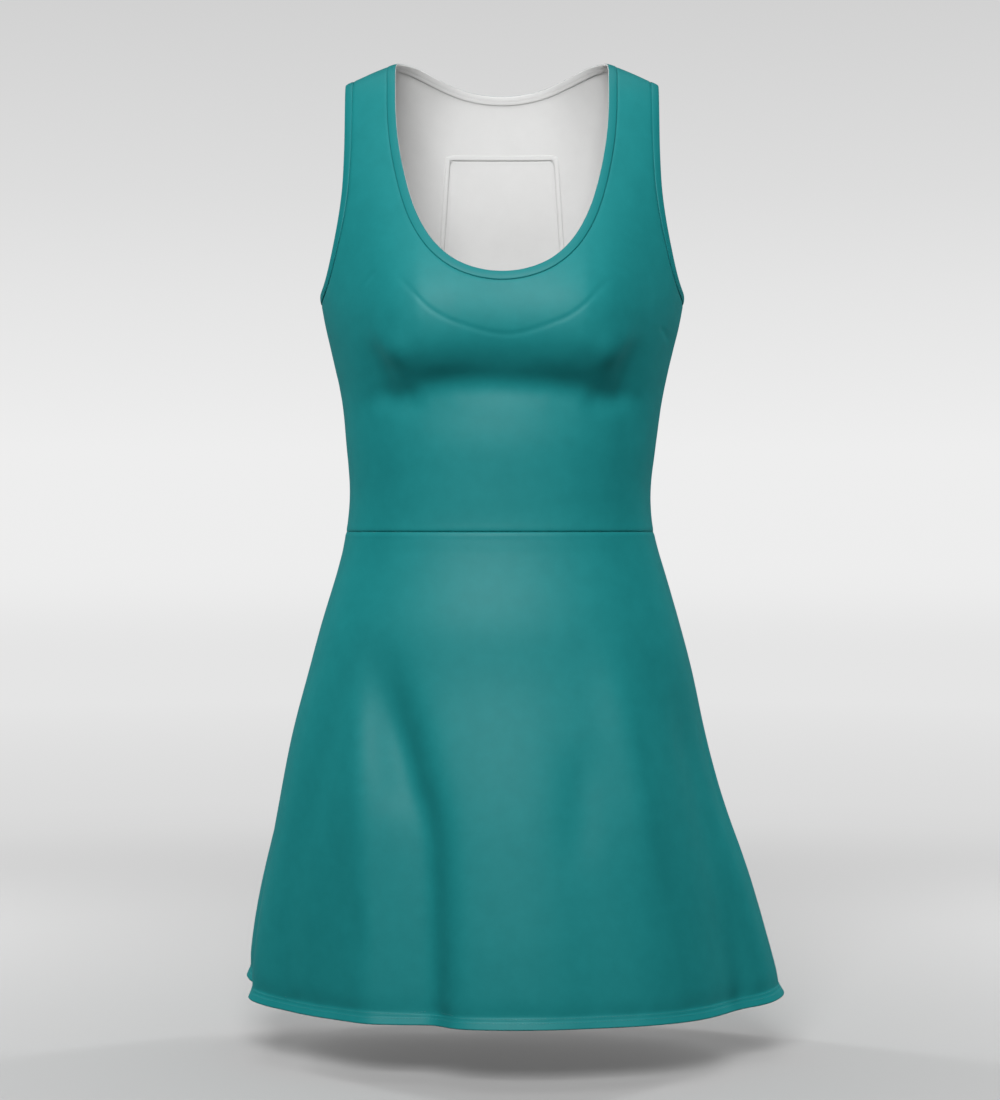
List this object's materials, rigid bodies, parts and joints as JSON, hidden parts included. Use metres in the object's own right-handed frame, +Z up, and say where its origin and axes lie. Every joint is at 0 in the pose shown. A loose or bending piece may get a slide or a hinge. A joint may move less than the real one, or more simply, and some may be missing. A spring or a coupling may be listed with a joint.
{
  "type": "padel dress",
  "caption": "Sleeveless A-line sports dress, worn shape, hollow and open at neck, armholes and hem; scoop neck, waist seam, flared skirt with soft folds.",
  "frame": {"origin": "midway between the two shoulder straps, at their middle height", "axes": "+Z up, the front of the dress faces -Y, the wearer's left is +X"},
  "size_m": [0.4628, 0.3043, 0.7929],
  "materials": {
    "knit": "smooth brushed polyester-elastane knit, soft sheen, teal outside and white inside",
    "binding": "the same knit folded into a flat binding",
    "panel_knit": "lighter, more open knit of the same colour, white inside"
  },
  "bodies": {
    "root": {"front_bodice": "knit", "back_bodice": "knit", "skirt_front": "knit", "skirt_back": "knit", "neck_binding": "binding", "armhole_binding_left": "binding", "armhole_binding_right": "binding", "back_panel": "panel_knit"}
  },
  "joints": []
}
